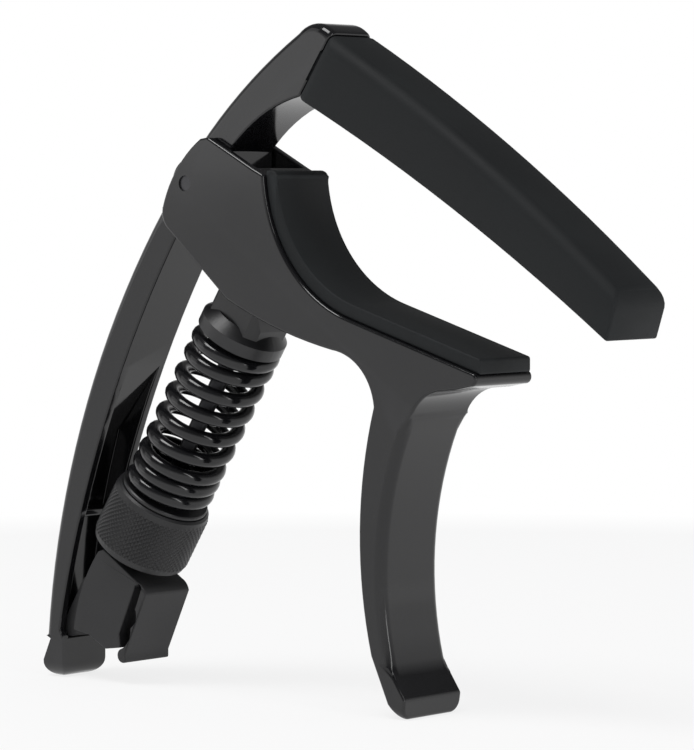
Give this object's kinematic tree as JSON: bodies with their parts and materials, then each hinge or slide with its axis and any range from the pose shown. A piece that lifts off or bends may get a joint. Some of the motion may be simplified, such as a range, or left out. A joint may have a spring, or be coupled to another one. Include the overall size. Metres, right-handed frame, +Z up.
{
  "type": "guitar capo",
  "caption": "Trigger-style guitar capo: a curved lever with a rubber string pad, a hinged jaw with a neck pad and handle, a coil spring, a knurled tension nut and a pick holder.",
  "frame": {"origin": "centre of the bounding box, on the surface that the two handle tips stand on", "axes": "+Z up, +X from the curved lever towards the open end of the jaws, Y across the width"},
  "size_m": [0.1041, 0.0144, 0.0933],
  "materials": {
    "black_coat": "gloss black coat on a casting",
    "rubber": "matt moulded rubber",
    "bronze": "turned",
    "dark_steel": "blackened",
    "washer_plastic": "smooth",
    "satin_black": "satin black",
    "spring_black": "gloss black coated wire",
    "nut_black": "satin black, knurled",
    "moulded_plastic": "fine moulded grain"
  },
  "bodies": {
    "lever": {"lever_casting": "black_coat", "string_pad": "rubber", "pivot_bush": "bronze"},
    "jaw": {"jaw_casting": "black_coat", "neck_pad": "rubber", "pivot_pin": "dark_steel", "near_washer": "washer_plastic", "far_washer": "washer_plastic"},
    "strut": {"pick_holder": "moulded_plastic", "rod_insert": "bronze", "guide_rod": "dark_steel"},
    "collar": {"spring_collar": "satin_black", "main_spring": "spring_black"},
    "nut": {"tension_nut": "nut_black"},
    "cap": {"spring_cap": "satin_black"}
  },
  "joints": [
    {"name": "jaw_hinge", "type": "hinge", "parent": "lever", "child": "jaw", "pos_m": [-0.0222, 0, 0.0716], "axis": [0, 1, 0], "range_deg": [0, 20], "stiffness_Nm_per_rad": 0.3, "springref_deg": -20.05},
    {"name": "strut_hinge", "type": "hinge", "parent": "lever", "child": "strut", "pos_m": [-0.0481, 0, 0.0075], "axis": [0, 1, 0], "range_deg": [-2.4, 0.1]},
    {"name": "cap_slide", "type": "slide", "parent": "strut", "child": "cap", "axis": [-0.5344, 0, -0.8453], "range_m": [0, 0.0054], "deforming": ["main_spring"]},
    {"name": "collar_slide", "type": "slide", "parent": "strut", "child": "collar", "axis": [0.5344, 0, 0.8453], "range_m": [0, 0.002]},
    {"name": "nut_turn", "type": "hinge", "parent": "collar", "child": "nut", "pos_m": [-0.03495, 0, 0.02214], "axis": [0.5344, 0, 0.8453], "range_deg": [0, 1442]}
  ],
  "couplings": [
    {"joint": "strut_hinge", "follows": "jaw_hinge", "ratio": -0.115},
    {"joint": "cap_slide", "follows": "jaw_hinge", "m_per_rad": 0.015011},
    {"joint": "nut_turn", "follows": "collar_slide", "rad_per_m": 12566}
  ]
}
